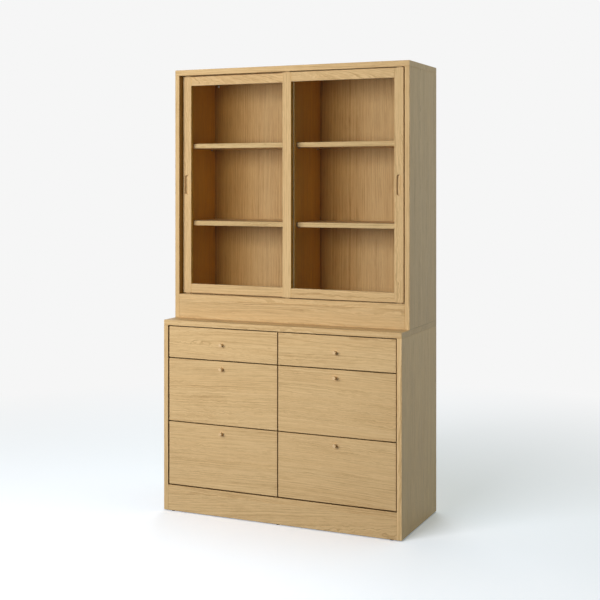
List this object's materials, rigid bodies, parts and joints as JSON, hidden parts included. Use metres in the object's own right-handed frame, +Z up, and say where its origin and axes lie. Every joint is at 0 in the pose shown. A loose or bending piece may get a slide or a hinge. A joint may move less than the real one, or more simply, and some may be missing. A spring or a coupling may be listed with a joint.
{
  "type": "glass-front cabinet",
  "caption": "Tall oak cupboard: a low case of drawers with round wooden knobs carries a shallower case with shelves behind framed glass sliding doors.",
  "frame": {"origin": "on the floor, midway along the width and midway between the knob faces and the back edges", "axes": "+Z up, the front with the drawers and doors faces -Y, +X to the right as one faces the front"},
  "size_m": [1.05, 0.457, 1.849],
  "materials": {
    "oak": "satin clear-finished oak",
    "back_panel": "oak-faced plywood",
    "drawer_wood": "pale planed wood",
    "beech": "planed hardwood",
    "glass": "clear float glass",
    "pin_steel": "zinc plated",
    "glide_plastic": "black plastic",
    "cap_plastic": "white plastic"
  },
  "bodies": {
    "carcass": {"lower_side_left": "oak", "lower_side_right": "oak", "lower_top": "oak", "lower_deck": "oak", "lower_plinth": "oak", "lower_rear_rail": "oak", "lower_divider": "oak", "lower_back": "back_panel", "glides": "glide_plastic", "drawer_runners": "beech", "upper_side_left": "oak", "upper_side_right": "oak", "upper_top": "oak", "upper_deck": "oak", "upper_plinth": "oak", "upper_rear_rail": "oak", "upper_divider": "oak", "upper_back": "back_panel", "shelf_left_lower": "oak", "shelf_left_upper": "oak", "shelf_right_lower": "oak", "shelf_right_upper": "oak", "shelf_pins": "pin_steel", "stacking_dowels": "beech", "wall_fixing_caps": "cap_plastic"},
    "left_door": {"left_door_left_stile": "oak", "left_door_right_stile": "oak", "left_door_top_rail": "oak", "left_door_bottom_rail": "oak", "left_door_glass": "glass"},
    "right_door": {"right_door_left_stile": "oak", "right_door_right_stile": "oak", "right_door_top_rail": "oak", "right_door_bottom_rail": "oak", "right_door_glass": "glass"},
    "drawer_top_left": {"drawer_top_left_front": "oak", "drawer_top_left_box": "drawer_wood", "drawer_top_left_bottom": "drawer_wood", "drawer_top_left_knob": "oak"},
    "drawer_top_right": {"drawer_top_right_front": "oak", "drawer_top_right_box": "drawer_wood", "drawer_top_right_bottom": "drawer_wood", "drawer_top_right_knob": "oak"},
    "drawer_middle_left": {"drawer_middle_left_front": "oak", "drawer_middle_left_box": "drawer_wood", "drawer_middle_left_bottom": "drawer_wood", "drawer_middle_left_knob": "oak"},
    "drawer_middle_right": {"drawer_middle_right_front": "oak", "drawer_middle_right_box": "drawer_wood", "drawer_middle_right_bottom": "drawer_wood", "drawer_middle_right_knob": "oak"},
    "drawer_bottom_left": {"drawer_bottom_left_front": "oak", "drawer_bottom_left_box": "drawer_wood", "drawer_bottom_left_bottom": "drawer_wood", "drawer_bottom_left_knob": "oak"},
    "drawer_bottom_right": {"drawer_bottom_right_front": "oak", "drawer_bottom_right_box": "drawer_wood", "drawer_bottom_right_bottom": "drawer_wood", "drawer_bottom_right_knob": "oak"}
  },
  "joints": [
    {"name": "left_door_slide", "type": "slide", "parent": "carcass", "child": "left_door", "axis": [1, 0, 0], "range_m": [0, 0.48]},
    {"name": "right_door_slide", "type": "slide", "parent": "carcass", "child": "right_door", "axis": [1, 0, 0], "range_m": [-0.48, 0]},
    {"name": "drawer_top_left_slide", "type": "slide", "parent": "carcass", "child": "drawer_top_left", "axis": [0, -1, 0], "range_m": [0, 0.3]},
    {"name": "drawer_top_right_slide", "type": "slide", "parent": "carcass", "child": "drawer_top_right", "axis": [0, -1, 0], "range_m": [0, 0.3]},
    {"name": "drawer_middle_left_slide", "type": "slide", "parent": "carcass", "child": "drawer_middle_left", "axis": [0, -1, 0], "range_m": [0, 0.3]},
    {"name": "drawer_middle_right_slide", "type": "slide", "parent": "carcass", "child": "drawer_middle_right", "axis": [0, -1, 0], "range_m": [0, 0.3]},
    {"name": "drawer_bottom_left_slide", "type": "slide", "parent": "carcass", "child": "drawer_bottom_left", "axis": [0, -1, 0], "range_m": [0, 0.3]},
    {"name": "drawer_bottom_right_slide", "type": "slide", "parent": "carcass", "child": "drawer_bottom_right", "axis": [0, -1, 0], "range_m": [0, 0.3]}
  ]
}
